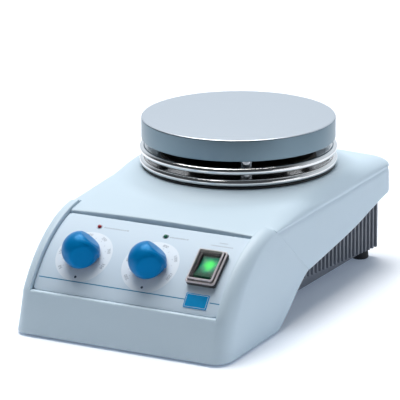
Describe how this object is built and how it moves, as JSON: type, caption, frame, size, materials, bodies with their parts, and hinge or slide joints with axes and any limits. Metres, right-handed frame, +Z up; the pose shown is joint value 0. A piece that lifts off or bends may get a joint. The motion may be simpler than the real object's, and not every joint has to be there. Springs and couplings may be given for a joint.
{
  "type": "magnetic stirrer",
  "caption": "Heating magnetic stirrer: round metal hot plate on polished shield rims above a sloping bench housing with a curved panel of knobs and a rocker switch.",
  "frame": {"origin": "on the bench surface, under the middle of the footprint", "axes": "+Z up, the control panel faces -Y, +X to the right of a person who faces the panel"},
  "size_m": [0.165, 0.28, 0.122],
  "materials": {
    "housing_paint": "fine textured epoxy powder coat",
    "panel_film": "satin polycarbonate film",
    "badge_blue": "gloss printed label",
    "knob_blue": "satin moulded plastic",
    "steel": "turned and zinc plated",
    "pot_green": "moulded",
    "lamp_red": "clear tinted lens",
    "lamp_green": "clear tinted lens",
    "black_plastic": "moulded",
    "rocker_green": "translucent, lit",
    "clear_cover": "clear flexible PVC",
    "plate_aluminium": "fine turned and coated",
    "heater_mica": "mica faced",
    "brass": "turned",
    "polished_steel": "mirror polished",
    "red_silicone": "silicone sleeve",
    "motor_grey": "satin",
    "magnet_grey": "sintered ferrite",
    "board_green": "solder mask",
    "component_dark": "moulded",
    "cast_grey": "die cast, grey coat",
    "rubber": "moulded",
    "fuse_glass": "clear"
  },
  "bodies": {
    "stirrer": {"top_cover": "housing_paint", "front_console": "housing_paint", "control_panel": "panel_film", "badge": "badge_blue", "heat_potentiometer": "pot_green", "speed_potentiometer": "pot_green", "knob_nuts": "steel", "heat_lamp": "lamp_red", "power_lamp": "lamp_green", "switch_housing": "black_plastic", "splash_cover": "clear_cover", "hot_plate": "plate_aluminium", "heating_element": "heater_mica", "safety_thermostat": "brass", "temperature_sensor": "steel", "upper_shield": "polished_steel", "lower_shield": "polished_steel", "spacer_sleeves": "steel", "plate_studs": "steel", "stud_nuts": "steel", "insulating_collar": "black_plastic", "magnet_guard": "black_plastic", "heater_leads": "red_silicone", "motor_case": "motor_grey", "motor_bushes": "brass", "motor_bracket": "steel", "motor_standoffs": "steel", "control_board": "board_green", "board_components": "component_dark", "board_spacers": "steel", "base_tray": "cast_grey", "rubber_feet": "rubber", "foot_screws": "steel", "mains_inlet": "black_plastic", "inlet_pins": "brass", "probe_socket": "black_plastic", "probe_contacts": "brass", "rod_socket": "steel", "cover_screws": "steel"},
    "heat_control": {"heat_knob": "knob_blue", "heat_shaft": "steel"},
    "speed_control": {"speed_knob": "knob_blue", "speed_shaft": "steel"},
    "rocker": {"switch_rocker": "rocker_green"},
    "rotor": {"drive_shaft": "steel", "magnet_carrier": "plate_aluminium", "drive_magnets": "magnet_grey"},
    "fuse_tray": {"fuse_drawer": "black_plastic", "fuses": "fuse_glass"}
  },
  "joints": [
    {"name": "heat_knob_turn", "type": "hinge", "parent": "stirrer", "child": "heat_control", "pos_m": [-0.042, -0.10808, 0.05359], "axis": [0, -0.6388, 0.7694], "range_deg": [-30, 270]},
    {"name": "speed_knob_turn", "type": "hinge", "parent": "stirrer", "child": "speed_control", "pos_m": [0.01, -0.10808, 0.05359], "axis": [0, -0.6388, 0.7694], "range_deg": [-30, 270]},
    {"name": "mains_switch_rock", "type": "hinge", "parent": "stirrer", "child": "rocker", "pos_m": [0.053, -0.10414, 0.05418], "axis": [1, 0, 0], "range_deg": [0, 18]},
    {"name": "stirring_drive_spin", "type": "hinge", "parent": "stirrer", "child": "rotor", "pos_m": [0, 0.045, 0.06], "axis": [0, 0, 1], "continuous": true},
    {"name": "fuse_drawer_slide", "type": "slide", "parent": "stirrer", "child": "fuse_tray", "axis": [0, 1, 0], "range_m": [0, 0.018]}
  ]
}
